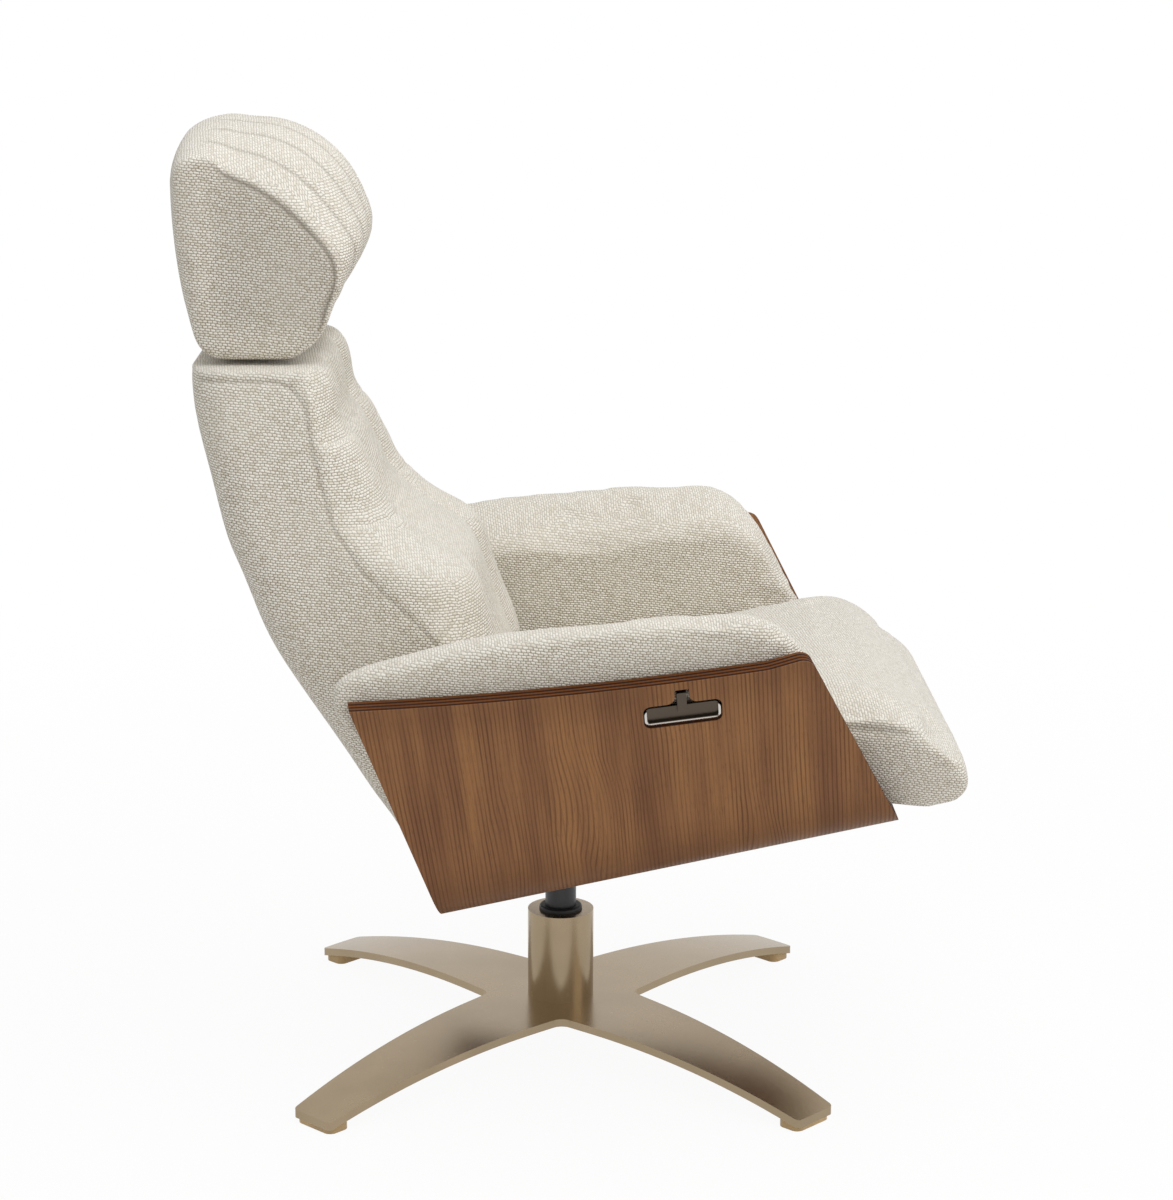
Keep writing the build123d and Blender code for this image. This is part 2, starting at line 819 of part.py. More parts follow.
def between(rows, height):
    """Row of sizes at a height, in a straight line between its neighbours or past the last."""
    index = 1
    while index < len(rows) - 1 and rows[index][0] < height:
        index += 1
    low, high = rows[index - 1], rows[index]
    share = (height - low[0]) / (high[0] - low[0])
    return [a + (b - a) * share for a, b in zip(low, high)]


def back_section(row):
    """Outline of the upholstered back at one height: rounded rear, straight sides, three soft panels."""
    height, rear, half, seam, crest = row
    inset = back_corner * (1 - math.sqrt(0.5))
    panel = half * back_panel_share
    valley = crest + min(back_seam_depth, (seam - crest) / 2)
    lines = [
        Line((half, seam), (half, rear - back_corner)),
        ThreePointArc((half, rear - back_corner), (half - inset, rear - inset), (half - back_corner, rear)),
        Line((half - back_corner, rear), (back_corner - half, rear)),
        ThreePointArc((back_corner - half, rear), (inset - half, rear - inset), (-half, rear - back_corner)),
        Line((-half, rear - back_corner), (-half, seam)),
        ThreePointArc((-half, seam), (-(half + panel) / 2, crest), (-panel, valley)),
        ThreePointArc((-panel, valley), (0, crest), (panel, valley)),
        ThreePointArc((panel, valley), ((half + panel) / 2, crest), (half, seam)),
    ]
    return Plane.XY.offset(height) * make_face(lines)


def make_back_form():
    return loft([back_section(row) for row in back_rows])


def behind_seam():
    points = [(row[3], row[0]) for row in back_rows]
    first, last = points[0], points[-1]
    points = [(first[0], first[1] - back_wall)] + points + [(last[0], last[1] + back_wall)]
    return side_prism(points + [(far, last[1] + back_wall), (far, first[1] - back_wall)], -far, far)


def make_back_hollow():
    heights = [row[0] for row in back_rows]
    heights[0] -= back_wall
    heights[-1] -= back_wall
    faces = []
    for height in heights:
        _, rear, half, seam, _ = between(back_rows, height)
        width = 2 * (half - back_wall)
        depth = rear - back_wall - seam + back_corner
        block = Rectangle(width, depth, align=(Align.CENTER, Align.MIN))
        rear_corners = block.vertices().group_by(Axis.Y)[-1]
        block = fillet(rear_corners, back_corner - back_wall / 2)
        faces.append(Plane.XY.offset(height) * Pos(0, seam - back_corner) * block)
    return loft(faces)


def post_bar(radius, side, bottom, top):
    """Round bar on a headrest post's line, measured from the headrest hinge."""
    bar = Cylinder(radius, top - bottom, align=(Align.CENTER, Align.CENTER, Align.MIN))
    return post_plane.location * Pos(side * post_half_spacing, 0, bottom) * bar


def make_back_shell():
    shell = (make_back_form() & behind_seam()) - make_back_hollow()
    for side in (-1, 1):
        shell -= post_bar(post_radius + body_clearance, side, -guide_drop, 0)
    return shell


def make_back_cushion():
    below = Pos(0, 0, back_cushion_bottom) * Box(
        2 * far, 2 * far, far, align=(Align.CENTER, Align.CENTER, Align.MAX)
    )
    return make_back_form() - behind_seam() - below


def make_back_frame():
    line = [(link_y, link_z), (recline_y, recline_z)] + frame_line
    outline = Sketch()
    for start, end in zip(line, line[1:]):
        run, rise = end[0] - start[0], end[1] - start[1]
        place = Pos((start[0] + end[0]) / 2, (start[1] + end[1]) / 2)
        place = place * Rot(0, 0, math.degrees(math.atan2(rise, run)))
        outline += place * SlotCenterToCenter(math.hypot(run, rise), frame_bar_width)
    bar = extrude(Plane.YZ * outline, frame_plate)
    frame = Pos(frame_inside, 0, 0) * bar + Pos(-frame_outside, 0, 0) * bar
    for y, z in [(link_y, link_z), frame_line[0]]:
        frame += cross_rod(cross_tube_radius, 2 * frame_outside, y, z)
    bar = Box(2 * frame_outside, top_bar_depth, top_bar_height, align=(Align.CENTER, Align.MIN, Align.CENTER))
    frame += post_plane.location * Pos(0, guide_size / 2, -guide_drop - guide_length / 2) * bar
    return frame - cross_rod(axle_radius + running_clearance, far, recline_y, recline_z)


def make_back_straps():
    line = Polyline(frame_line[:3])
    strap = Box(2 * frame_inside, strap_thickness, back_strap_width)
    forward = (strap_thickness - frame_bar_width) / 2
    straps = []
    for index in range(back_strap_count):
        share = (index + 0.5) / back_strap_count
        point, run = line @ share, line % share
        place = Plane(origin=(0, point.X, point.Y), x_dir=(1, 0, 0), z_dir=(0, run.X, run.Y))
        straps.append(place.location * Pos(0, forward, 0) * strap)
    return Compound(children=straps)


def make_guide(side):
    block = Box(guide_size, guide_size, guide_length, align=(Align.CENTER, Align.CENTER, Align.MAX))
    block = post_plane.location * Pos(side * post_half_spacing, 0, -guide_drop) * block
    return block - post_bar(post_radius + running_clearance, side, -far, 0)


# Headrest
headrest_axle_length = 2 * (post_half_spacing + headrest_axle_overhang)


def make_post(side):
    post = post_bar(post_radius, side, -post_length, post_radius)
    return post - cross_rod(post_radius / 2, far, headrest_hinge_y, headrest_hinge_z)


def make_headrest_axle():
    return cross_rod(post_radius / 2 - fixed_clearance, headrest_axle_length, headrest_hinge_y, headrest_hinge_z)


def make_headrest_core():
    board = Box(core_width, core_thickness, core_height, align=(Align.CENTER, Align.CENTER, Align.MIN))
    core = post_plane.location * Pos(0, 0, knuckle_radius) * board
    for side in (-1, 1):
        barrel = cross_rod(knuckle_radius, knuckle_length, 0, 0)
        neck = Box(knuckle_length, core_thickness, 2 * knuckle_radius, align=(Align.CENTER, Align.CENTER, Align.MIN))
        core += post_plane.location * Pos(side * knuckle_offset, 0, 0) * (barrel + neck)
    return core - cross_rod(post_radius / 2 + running_clearance, far, headrest_hinge_y, headrest_hinge_z)


def headrest_section(x, drawn):
    """Side-view outline of the headrest at x; the front is drawn in at a sewn rib line."""
    share = 1 - (x / headrest_half_width) ** 2
    points = []
    for index, (side, middle) in enumerate(zip(headrest_side, headrest_middle)):
        back = drawn if index in headrest_front_points else 0
        y = side[0] + (middle[0] - side[0]) * share + back
        points.append((y, side[1] + (middle[1] - side[1]) * share))
    lines = [
        ThreePointArc(points[0], points[1], points[2]),
        ThreePointArc(points[2], points[3], points[4]),
        ThreePointArc(points[4], points[5], points[6]),
        ThreePointArc(points[6], points[7], points[8]),
        Line(points[8], points[9]),
        ThreePointArc(points[9], points[10], points[0]),
    ]
    return Plane.YZ.offset(x) * make_face(lines)


def make_headrest_pad():
    places = []
    for side in (-1, 1):
        places.append((side * headrest_half_width, 0))
        places.append((side * (headrest_half_width - headrest_border), 0))
    for rib in range(-headrest_ribs_each_side, headrest_ribs_each_side + 1):
        places.append((rib * headrest_rib_pitch, headrest_rib_depth))
    for rib in range(-headrest_ribs_each_side - 1, headrest_ribs_each_side + 1):
        places.append(((rib + 0.5) * headrest_rib_pitch, 0))
    pad = loft([headrest_section(x, drawn) for x, drawn in sorted(places)])
    room = knuckle_radius + body_clearance
    reach = Box(
        headrest_axle_length + 2 * body_clearance,
        2 * headrest_slot_room,
        far,
        align=(Align.CENTER, Align.CENTER, Align.MAX),
    )
    pad -= post_plane.location * Pos(0, 0, room) * reach
    return pad - make_headrest_core()


# Arm pads
def pad_section(row):
    """Section across an arm pad: flat on the ply, rolled over its top edge, straight towards the seat."""
    y, bottom, arris, crest, width = row
    low = shell_inside(y, bottom) - body_clearance
    edge = shell_inside(y, arris) - body_clearance
    top = (edge - pad_crest_share * width, crest)
    inner = (edge - width, arris)
    outer_swell, inner_swell = [
        (edge - inwards * width, arris + upwards * (crest - arris))
        for inwards, upwards in (pad_outer_swell, pad_inner_swell)
    ]
    lines = [
        Line((low, bottom), (edge, arris)),
        ThreePointArc((edge, arris), outer_swell, top),
        ThreePointArc(top, inner_swell, inner),
        Line(inner, (low - pad_foot, bottom)),
        Line((low - pad_foot, bottom), (low, bottom)),
    ]
    return Plane.XZ.offset(-y) * make_face(lines)


def make_arm_pad():
    return loft([pad_section(row) for row in pad_rows])


# Seat
seat_plane = Plane(
    origin=(0, seat_rear, seat_rear_height),
    x_dir=(1, 0, 0),
    z_dir=(0, math.sin(math.radians(seat_pitch)), math.cos(math.radians(seat_pitch))),
)
seat_frame_middle = -seat_frame_setback - seat_frame_length / 2


def seat_section(row):
    """Section across the seat cushion: flat base, swelling sides, full shoulders and a crowned top."""
    y, lift, seam, crown, low_half, half = row
    base = seat_base_z(y) + lift
    side = ((low_half + half) / 2 + seat_side_swell, (base + seam) / 2)
    shoulder, swell = [
        (across * half, seam + upwards * (crown - seam))
        for across, upwards in (seat_shoulder, seat_shoulder_swell)
    ]
    lines = [
        Line((-low_half, base), (low_half, base)),
        ThreePointArc((low_half, base), side, (half, seam)),
        ThreePointArc((half, seam), swell, shoulder),
        ThreePointArc(shoulder, (0, crown), (-shoulder[0], shoulder[1])),
        ThreePointArc((-shoulder[0], shoulder[1]), (-swell[0], swell[1]), (-half, seam)),
        ThreePointArc((-half, seam), (-side[0], side[1]), (-low_half, base)),
    ]
    return Plane.XZ.offset(-y) * make_face(lines)


def make_seat_cushion():
    cushion = loft([seat_section(row) for row in seat_rows])
    room = seat_frame_thickness + strap_thickness + fixed_clearance
    recess = Box(
        2 * seat_frame_half_width + fixed_clearance,
        seat_frame_length + fixed_clearance,
        2 * room,
    )
    return cushion - seat_plane.location * Pos(0, seat_frame_middle, 0) * recess


def make_seat_frame():
    outer = Box(
        2 * seat_frame_half_width,
        seat_frame_length,
        seat_frame_thickness,
        align=(Align.CENTER, Align.CENTER, Align.MIN),
    )
    inner = Box(
        2 * (seat_frame_half_width - seat_frame_rail),
        seat_frame_length - 2 * seat_frame_rail,
        4 * seat_frame_thickness,
    )
    return seat_plane.location * Pos(0, seat_frame_middle, 0) * (outer - inner)


def make_seat_straps():
    strap = Box(
        2 * seat_frame_half_width - seat_frame_rail / 2,
        seat_strap_width,
        strap_thickness,
        align=(Align.CENTER, Align.CENTER, Align.MIN),
    )
    step = (seat_frame_length - seat_frame_rail) / seat_strap_count
    straps = []
    for index in range(seat_strap_count):
        along_seat = seat_frame_middle + (index - (seat_strap_count - 1) / 2) * step
        straps.append(seat_plane.location * Pos(0, along_seat, seat_frame_thickness) * strap)
    return Compound(children=straps)


def make_rail():
    inside = slider_width / 2 + slider_side_gap
    width = 2 * (inside + rail_wall)
    rail = floor_block(width, rail_front, rail_rear, ply, ply + rail_plate + rail_lip, slider_offset)
    return rail - floor_block(
        2 * inside, rail_front - 1, rail_rear + 1, ply + rail_plate, far, slider_offset
    )


def make_slider():
    block = floor_block(
        slider_width, slider_front, slider_rear, ply + rail_plate + thrust_clearance, far / 4, slider_offset
    )
    above = Box(2 * far, 2 * far, far, align=(Align.CENTER, Align.CENTER, Align.MIN))
    return block - seat_plane.location * above


def make_seat_hook():
    bore = cross_tube_radius + body_clearance
    outside = bore + link_wall
    slot = extrude(Plane.YZ * Rot(0, 0, 90) * SlotCenterToCenter(2 * hook_slot_rise, 2 * bore), far, both=True)
    slot = Pos(0, link_y, link_z) * slot
    frame_rear = seat_rear - seat_frame_setback
    frame_front = frame_rear - seat_frame_rail
    plate = side_prism(
        [
            (frame_front, seat_base_z(frame_front)),
            (frame_rear, seat_base_z(frame_rear)),
            (link_y + outside, link_z + hook_slot_rise),
            (link_y + outside, link_z - outside),
            (link_y - outside, link_z - outside),
        ],
        hook_inside,
        hook_inside + hook_plate,
    )
    return plate - slot


os.makedirs("parts", exist_ok=True)
pieces = {
    "base_cross": make_base_cross(),
    "column_tube": make_column(),
    "column_bolts": make_column_bolts(),
    "upper_bush": make_upper_bush(),
    "lower_bush": make_lower_bush(),
    "thrust_washer": make_ring(
        journal_radius + running_clearance,
        lower_lip_radius,
        journal_top - thrust_washer_thickness,
        thrust_washer_thickness,
    ),
    "retaining_washer": make_ring(
        journal_radius + fixed_clearance, retainer_radius, clip_top, retainer_thickness
    ),
    "retaining_clip": make_ring(
        journal_radius - clip_groove + fixed_clearance,
        journal_radius + clip_thickness,
        clip_top - clip_thickness,
        clip_thickness,
    ),
    "swivel_plate": make_swivel_plate(),
    "spindle": make_spindle(),
    "swivel_bolts": make_swivel_bolts(),
    "swivel_nuts": make_swivel_nuts(),
    "mechanism_pan": make_pan(),
    "recline_axle": make_recline_axle(),
    "gas_pin": make_gas_pin(),
    "gas_cylinder": make_gas_cylinder(),
    "gas_rod": make_gas_rod(),
    "ply_shell": make_ply_shell(),
    "release_lever": make_lever(),
    "lever_bracket": make_lever_bracket(),
    "lever_pin": make_lever_pin(),
    "release_cable": make_cable(cable_radius),
    "back_shell": make_back_shell(),
    "back_cushion": make_back_cushion(),
    "back_frame": make_back_frame(),
    "back_straps": make_back_straps(),
    "headrest_axle": make_headrest_axle(),
    "headrest_core": make_headrest_core(),
    "headrest_pad": make_headrest_pad(),
    "seat_cushion": make_seat_cushion(),
    "seat_frame": make_seat_frame(),
    "seat_straps": make_seat_straps(),
}
pad = make_arm_pad()
pieces["arm_pad_left"] = pad
pieces["arm_pad_right"] = mirrored(pad) - make_lever_pocket() - make_cable(cable_groove)
for name, shape in {"seat_rail": make_rail(), "seat_slider": make_slider(), "seat_hook": make_seat_hook()}.items():
    pieces[name + "_left"] = shape
    pieces[name + "_right"] = mirrored(shape)
for name, side in {"right": -1, "left": 1}.items():
    pieces["headrest_guide_" + name] = make_guide(side)
    pieces["headrest_post_" + name] = make_post(side)
for corner, angle in arm_angles.items():
    pieces[f"foot_glide_{corner}"] = make_glide(angle)
for name, shape in pieces.items():
    export_step(shape, f"parts/{name}.step")
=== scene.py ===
import json
import math

import bmesh
import bpy
import numpy as np
from mathutils import Matrix, Vector


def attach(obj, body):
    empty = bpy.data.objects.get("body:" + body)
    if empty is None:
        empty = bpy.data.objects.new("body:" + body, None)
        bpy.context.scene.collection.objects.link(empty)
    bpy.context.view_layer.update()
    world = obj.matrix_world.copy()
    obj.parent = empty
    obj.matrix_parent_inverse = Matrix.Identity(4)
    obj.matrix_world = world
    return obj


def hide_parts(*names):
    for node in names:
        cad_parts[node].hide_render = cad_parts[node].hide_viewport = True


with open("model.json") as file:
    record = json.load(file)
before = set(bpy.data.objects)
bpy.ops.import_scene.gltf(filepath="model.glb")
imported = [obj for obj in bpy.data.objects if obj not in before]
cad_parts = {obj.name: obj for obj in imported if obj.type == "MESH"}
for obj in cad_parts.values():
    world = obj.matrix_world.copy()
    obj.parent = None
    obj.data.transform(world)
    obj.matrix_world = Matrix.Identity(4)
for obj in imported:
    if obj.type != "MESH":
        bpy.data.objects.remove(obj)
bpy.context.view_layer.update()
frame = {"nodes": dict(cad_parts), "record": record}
nodes = frame["nodes"]
scene = bpy.context.scene
print("frame loaded,", len(nodes), "nodes")


# Shader maths: a value is one socket, and an expression on values adds the nodes
class Value:
    def __init__(self, finish, socket):
        self.finish = finish
        self.socket = socket

    def maths(self, operation, *values):
        return self.finish.node("ShaderNodeMath", {"operation": operation}, dict(enumerate(values)))

    def __add__(self, other):
        return self.maths("ADD", self, other)

    def __radd__(self, other):
        return self.maths("ADD", other, self)

    def __sub__(self, other):
        return self.maths("SUBTRACT", self, other)

    def __rsub__(self, other):
        return self.maths("SUBTRACT", other, self)

    def __mul__(self, other):
        return self.maths("MULTIPLY", self, other)

    def __rmul__(self, other):
        return self.maths("MULTIPLY", other, self)

    def __truediv__(self, other):
        return self.maths("DIVIDE", self, other)

    def __pow__(self, other):
        return self.maths("POWER", self, other)

    def __gt__(self, other):
        return self.maths("GREATER_THAN", self, other)

    def __mod__(self, other):
        return self.maths("FLOORED_MODULO", self, other)

    def __abs__(self):
        return self.maths("ABSOLUTE", self)

    def floor(self):
        return self.maths("FLOOR", self)

    def fract(self):
        return self.maths("FRACT", self)

    def sine(self):
        return self.maths("SINE", self)

    def root(self):
        return self.maths("SQRT", self)

    def larger(self, other):
        return self.maths("MAXIMUM", self, other)

    def between(self, low, high):  # 0 at low, 1 at high, eased
        return self.finish.node(
            "ShaderNodeMapRange",
            {"interpolation_type": "SMOOTHSTEP"},
            {"Value": self, "From Min": low, "From Max": high},
        )


class Finish:
    def __init__(self, name):
        self.material = bpy.data.materials.new(name)
        self.material.use_nodes = True
        self.tree = self.material.node_tree
        self.shader = self.tree.nodes["Principled BSDF"]

    def node(self, kind, settings=None, sockets=None, out=0):
        made = self.tree.nodes.new(kind)
        for name, value in (settings or {}).items():
            if name == "stops":
                self.setStops(made.color_ramp, value)
            else:
                setattr(made, name, value)
        for name, value in (sockets or {}).items():
            self.plug(made.inputs[name], value)
        return Value(self, made.outputs[out])

    def setStops(self, ramp, stops):
        while len(ramp.elements) < len(stops):
            ramp.elements.new(0.5)
        for element, (place, colour) in zip(ramp.elements, stops):
            element.position = place
            element.color = (*colour, 1)

    def plug(self, socket, value):
        if isinstance(value, Value):
            self.tree.links.new(value.socket, socket)
        elif isinstance(value, tuple) and socket.type == "RGBA":
            socket.default_value = (*value, 1)
        else:
            socket.default_value = value

    def set(self, **values):  # Base_Color=... sets the shader's own sockets
        for name, value in values.items():
            self.plug(self.shader.inputs[name.replace("_", " ")], value)
        return self

    def split(self, vector):
        return [self.node("ShaderNodeSeparateXYZ", None, {0: vector}, axis) for axis in range(3)]

    def join(self, x, y, z):
        return self.node("ShaderNodeCombineXYZ", None, {0: x, 1: y, 2: z})

    def place(self):
        return self.node("ShaderNodeTexCoord", None, None, "Object")

    def noise(self, vector, scale, detail=2, rough=0.5):
        sockets = {"Vector": vector, "Scale": scale, "Detail": detail, "Roughness": rough}
        return self.node("ShaderNodeTexNoise", None, sockets)

    def grainOf(self, vector):  # a steady random value for each whole-number place
        return self.node("ShaderNodeTexWhiteNoise", None, {"Vector": vector})

    def ramp(self, value, *stops):
        return self.node("ShaderNodeValToRGB", {"stops": stops}, {"Fac": value})

    def mix(self, share, first, second):
        made = self.tree.nodes.new("ShaderNodeMix")
        made.data_type = "RGBA"
        for socket, value in ((made.inputs[0], share), (made.inputs[6], first), (made.inputs[7], second)):
            self.plug(socket, value)
        return Value(self, made.outputs[2])

    def bump(self, height, strength, distance):
        sockets = {"Height": height, "Strength": strength, "Distance": distance}
        return self.set(Normal=self.node("ShaderNodeBump", None, sockets))


# Cream cloth: staggered grains of yarn in rows, lying the way that each face turns
# litGap is the yarn-gap colour painted lighter as light falling on upward-facing cloth
clothLook = {"grainLong": 0.0052, "grainHigh": 0.0029, "tilt": 0.10, "lift": 0.0011,
             "grain": (0.91, 0.868, 0.785), "shade": (0.76, 0.71, 0.61), "gap": (0.335, 0.28, 0.195),
             # seam is the colour of the painted shade in the seam grooves
             "litGap": (0.64, 0.605, 0.54), "warm": (0.82, 0.76, 0.65), "seam": (0.20, 0.17, 0.13)}


def makeCloth(name):
    cloth = Finish(name)
    place = cloth.place()
    x, y, z = cloth.split(place)
    facing = cloth.node("ShaderNodeTexCoord", None, None, "Normal")
    level = cloth.split(facing)[2]
    nx, ny, nz = [abs(n) for n in cloth.split(facing)]
    ragged = (cloth.noise(place, 30, 1) - 0.5) * 0.3  # no line where the rows change direction
    isTop = nz > nx.larger(ny) + ragged
    isSide = (nx > ny + ragged) * (1 - isTop)
    isFront = 1 - isTop - isSide
    across = x * (isTop + isFront) + y * isSide
    up = y * isTop + z * (isSide + isFront) - across * clothLook["tilt"]
    sway = cloth.noise(place, 45, 1)
    jitter = cloth.noise(place, 190, 1)
    row = up / clothLook["grainHigh"] + (sway - 0.5) * 1.1 + (jitter - 0.5) * 0.45
    line = row.floor()
    shift = cloth.grainOf(cloth.join(line, isSide, isTop))
    column = across / clothLook["grainLong"] + (line % 2) * 0.5 + shift * 0.16 + (jitter - 0.5) * 0.7
    chance = cloth.grainOf(cloth.join(column.floor(), line, isSide + isTop * 2))
    acrossGrain = abs(column.fract() * 2 - 1)
    upGrain = abs(row.fract() * 2 - 1)
    swell = (1 - acrossGrain ** 3) * (1 - upGrain ** 2)
    fibre = cloth.noise(place, 1000, 2, 0.6)
    height = swell * (0.7 + 0.3 * chance) + (fibre - 0.5) * 0.3
    yarn = cloth.mix(chance.between(0.0, 0.5), clothLook["shade"], clothLook["grain"])
    yarn = cloth.mix((chance * 7.3).fract().between(0.6, 0.95) * 0.5, yarn, clothLook["warm"])
    gap = cloth.mix(level.between(0.0, 0.9), clothLook["gap"], clothLook["litGap"])  # painted light: the gaps are painted lighter where the cloth faces up
    colour = cloth.mix(height.between(0.05, 0.55), gap, yarn)
    patch = cloth.noise(place, 11, 3)
    colour = cloth.mix(patch.between(0.35, 0.75) * 0.2, colour, clothLook["warm"])
    # painted shade along the seam grooves, taken from the per-point seam attribute
    seam = cloth.node("ShaderNodeAttribute", {"attribute_name": "sewn"}, None, "Fac")
    colour = cloth.mix(seam * 0.8, colour, clothLook["seam"])
    cloth.set(Base_Color=colour, Roughness=0.94, Specular_IOR_Level=0.1)
    cloth.set(Sheen_Weight=0.3, Sheen_Roughness=0.45)
    cloth.bump(height, 0.8, clothLook["lift"])
    return cloth.material


# Stained veneer with its grain up the sides, and plies showing on every cut edge
plyLook = {"pitch": math.radians(12), "flare": math.radians(26), "floor": 0.257, "halfFloor": 0.214,
           "bend": 0.060, "thick": 0.016, "layer": 0.0046, "slant": math.radians(6.5), "lines": 0.0045,
           "gold": (0.345, 0.160, 0.058), "mid": (0.262, 0.117, 0.046), "red": (0.190, 0.078, 0.031),
           "line": (0.085, 0.031, 0.011), "edgeLight": (0.17, 0.058, 0.016),
           "edgeDark": (0.025, 0.008, 0.003), "cut": (0.0005, 0.0010),
           "bendShadeSpan": (0.0, 0.085), "rim": 0.516, "rimSlope": 0.1, "rimCurve": 0.2,
           "padShadowSpan": (-0.050, -0.010)}


def heightOnPly(y, z):  # metres above the underside of the bent sheet, square to it
    return y * math.sin(plyLook["pitch"]) + (z - plyLook["floor"]) * math.cos(plyLook["pitch"])


def depthInPly(x, y, z):  # metres below the outer face of the bent sheet
    flare, bend = plyLook["flare"], plyLook["bend"]
    height = heightOnPly(y, z)
    out = abs(x) - plyLook["halfFloor"]
    up = height - bend
    onBend = out > 0
    onSide = out * math.sin(flare) + up * math.cos(flare) > 0
    side = bend - (out * math.cos(flare) - up * math.sin(flare))
    corner = bend - (out * out + up * up).root()
    return (1 - onBend) * height + onBend * (onSide * side + (1 - onSide) * corner)


def makeVeneer():
    veneer = Finish("stainedVeneer")
    place = veneer.place()
    x, y, z = veneer.split(place)
    slant, thick = plyLook["slant"], plyLook["thick"]
    cross = y * math.cos(slant) - z * math.sin(slant)
    along = y * math.sin(slant) + z * math.cos(slant) + abs(x) * 0.4
    side = (x > 0) * 3.7  # the two sides are cut from different leaves
    wander = veneer.noise(veneer.join(cross * 9, along * 2.2, side), 1.0, 3, 0.45)
    figure = veneer.noise(veneer.join(cross * 9, along * 3.2, side + 5), 1.0, 1, 0.4)
    knot = (figure - 0.60).larger(0.0)
    ring = cross / plyLook["lines"] + (wander - 0.5) * 3.0 + knot * 11
    wave = (ring * 2 * math.pi).sine() * 0.5 + 0.5
    tone = veneer.noise(veneer.join(cross * 21, along * 1.3, side), 1.0, 3, 0.6)
    strength = veneer.noise(veneer.join(cross * 50, along * 5, side + 2), 1.0, 2)
    streak = veneer.noise(veneer.join(cross * 420, along * 7, side), 1.0, 3, 0.65)
    pores = veneer.noise(veneer.join(cross * 1200, along * 60, side), 1.0, 2, 0.6)
    colour = veneer.ramp(tone, (0.33, plyLook["red"]), (0.47, plyLook["mid"]), (0.64, plyLook["gold"]))
    colour = veneer.mix((wave ** 4) * strength.between(0.15, 0.75) * 0.8, colour, plyLook["line"])
    colour = veneer.mix(streak.between(0.48, 0.8) * 0.45, colour, plyLook["line"])
    colour = veneer.mix(pores.between(0.56, 0.72) * 0.45, colour, plyLook["line"])
    # Painted shade: darker towards the bottom bend, which faces down, and a painted shadow of the arm pads
    # below the top edge
    paintedBendShade = 1 - heightOnPly(y, z).between(*plyLook["bendShadeSpan"])
    belowRim = z - plyLook["rim"] + y * plyLook["rimSlope"] - y * y * plyLook["rimCurve"]
    paintedPadShadow = belowRim.between(*plyLook["padShadowSpan"])
    colour = veneer.mix(paintedBendShade * 0.5 + paintedPadShadow * 0.22, colour, plyLook["line"])  # painted shade in the downward bend and painted shadow under the arm pads
    depth = depthInPly(x, y, z)
    low, high = plyLook["cut"]
    onEdge = depth.between(low, high) * (1 - depth.between(thick - high, thick - low))
    ply = abs((depth / plyLook["layer"]).fract() * 2 - 1)
    edge = veneer.mix(ply.between(0.3, 0.7), plyLook["edgeDark"], plyLook["edgeLight"])
    fleck = veneer.noise(veneer.join(x * 60, y * 25, z * 60), 1.0, 2)
    edge = veneer.mix(fleck.between(0.45, 0.75) * 0.3, edge, plyLook["edgeDark"])
    colour = veneer.mix(onEdge, colour, edge)
    shine = 0.5 + 0.12 * wave - 0.06 * pores + 0.3 * onEdge
    veneer.set(Base_Color=colour, Roughness=shine, Specular_IOR_Level=0.22)
    veneer.bump(wave * 0.25 - pores * 0.8, 0.25, 0.0004)
    return veneer.material


# Release lever: the rim is polished and its colour is a painted highlight; the scoop and stem are painted
# dark as shade and reflection
leverLook = {"rim": (0.62, 0.59, 0.545), "scoop": (0.105, 0.085, 0.066), "rimDepth": (0.0040, 0.0055),
             "ahead": (-0.9934, 0.1147), "middle": (0.1764, 0.4729), "ends": (0.0362, 0.0372),
             "foot": (0.0090, 0.0100)}


def makeLeverMetal():
    metal = Finish("polishedLever")
    place = metal.place()
    x, y, z = metal.split(place)
    brush = metal.noise(metal.join(x * 500, y * 60, z * 500), 1.0, 2)
    lean, rise = leverLook["ahead"]
    ahead = y * lean + z * rise - leverLook["middle"][0]
    below = (leverLook["middle"][1] - y * rise + z * lean) / math.cos(plyLook["flare"])
    rim = abs(ahead).between(*leverLook["ends"]).larger(below.between(*leverLook["foot"]))
    inside = 1 - rim * (1 - depthInPly(x, y, z).between(*leverLook["rimDepth"]))
    # painted highlight on the rim, painted shade and dark reflection in the scoop and up the stem
    metal.set(Base_Color=metal.mix(inside, leverLook["rim"], leverLook["scoop"]), Metallic=1.0)
    metal.set(Roughness=0.16 + 0.22 * inside + (brush - 0.5) * 0.08)
    metal.bump(brush, 0.05, 0.0002)
    return metal.material


# Satin champagne metal, with faint brushing and handled patches
def makeSatinMetal(name, colour, rough, brushed):
    metal = Finish(name)
    place = metal.place()
    x, y, z = metal.split(place)
    brush = metal.noise(metal.join(x * brushed[0], y * brushed[1], z * brushed[2]), 1.0, 2)
    patch = metal.noise(place, 14, 2)
    deep = tuple(c * 0.9 for c in colour)
    metal.set(Base_Color=metal.mix(patch.between(0.3, 0.7), deep, colour), Metallic=1.0)
    metal.set(Roughness=rough + (brush - 0.5) * 0.1 + (patch - 0.5) * 0.06)
    metal.bump(brush, 0.06, 0.0003)
    return metal.material


# Painted, moulded and woven finishes of the smaller pieces
def makePlain(name, colour, rough, scale=260, depth=0.12, coat=0.0):
    plain = Finish(name)
    place = plain.place()
    fine = plain.noise(place, scale, 3)
    patch = plain.noise(place, 22, 2)
    dull = tuple(c * 0.82 for c in colour)
    plain.set(Base_Color=plain.mix(patch.between(0.3, 0.75), dull, colour), Coat_Weight=coat)
    plain.set(Roughness=rough + (fine - 0.5) * 0.16)
    plain.bump(fine, depth, 0.0003)
    return plain.material


